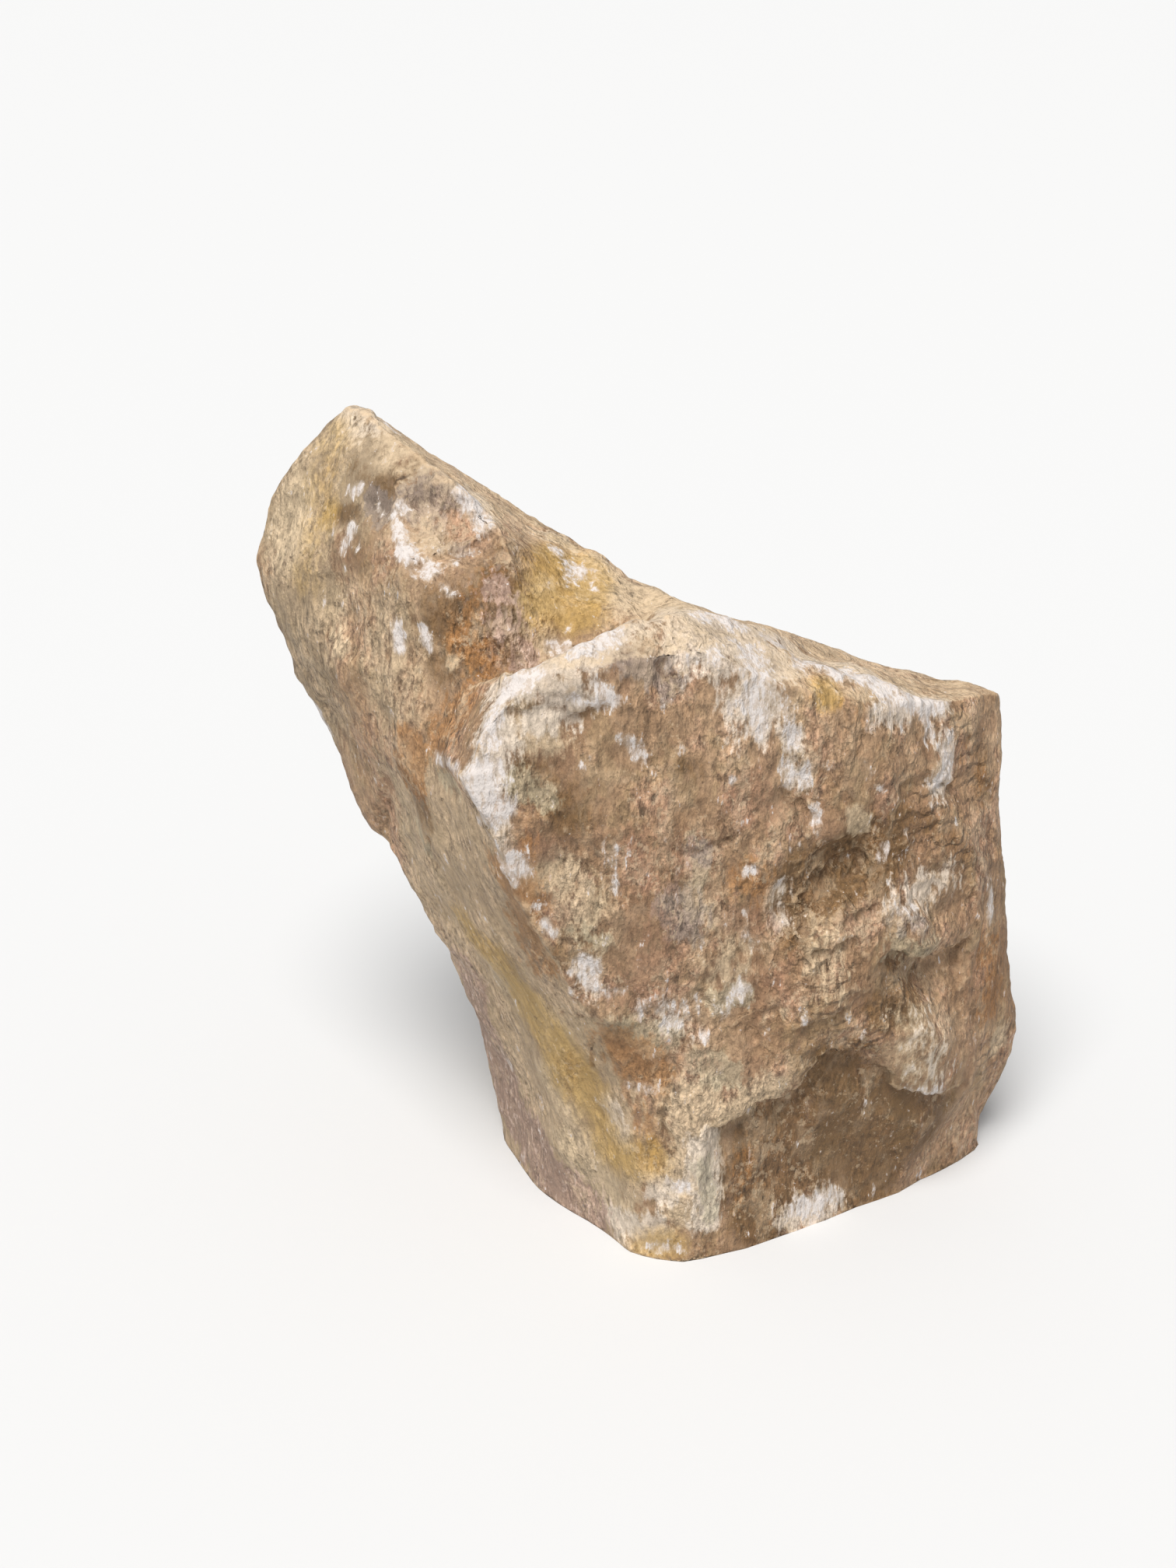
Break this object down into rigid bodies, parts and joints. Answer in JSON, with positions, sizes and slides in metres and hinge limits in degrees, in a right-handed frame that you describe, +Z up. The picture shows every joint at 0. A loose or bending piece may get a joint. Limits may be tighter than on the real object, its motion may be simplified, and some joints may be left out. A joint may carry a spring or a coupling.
{
  "type": "honeycomb calcite specimen",
  "caption": "Rough broken block of brown and honey calcite with an overhanging lobe, standing on a flat base.",
  "frame": {"origin": "middle of the bounding box in plan, at the height of the flat base", "axes": "+Z up from the base, -Y the broad front break, -X the side that the lobe overhangs"},
  "size_m": [0.14, 0.098, 0.143],
  "materials": {
    "calcite": "rough broken calcite, matt to waxy, with crushed white edges"
  },
  "bodies": {
    "root": {"calcite_stone": "calcite"}
  },
  "joints": []
}
